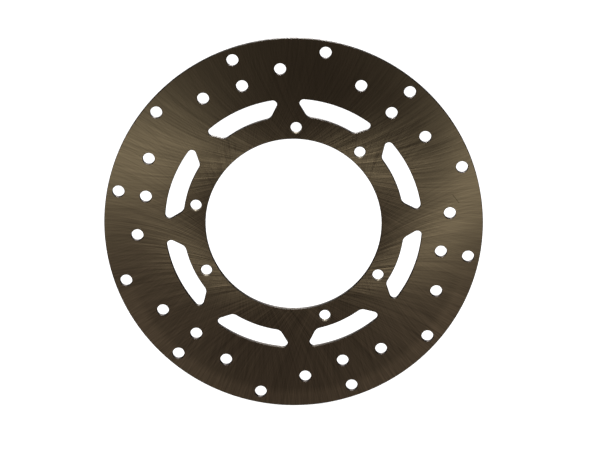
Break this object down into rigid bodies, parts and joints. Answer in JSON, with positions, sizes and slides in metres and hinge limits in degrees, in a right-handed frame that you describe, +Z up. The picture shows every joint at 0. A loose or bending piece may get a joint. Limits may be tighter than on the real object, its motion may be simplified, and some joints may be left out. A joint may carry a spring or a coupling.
{
  "type": "brake disc rotor",
  "caption": "Flat one-piece motorcycle brake disc: drilled friction band, curved slots between short spokes, and an inner ring with paired bolt holes round a plain bore.",
  "frame": {"origin": "centre of the face that sits on the wheel hub, on the wheel's axle line", "axes": "+Y along the axle towards the hub, -Y out of the visible face, +Z up, +X through the middle of a spoke"},
  "size_m": [0.28, 0.0045, 0.28],
  "materials": {
    "ground_steel": "ground stainless steel, brown-grey, with fine criss-cross grinding marks"
  },
  "bodies": {
    "root": {"brake_disc": "ground_steel"}
  },
  "joints": []
}
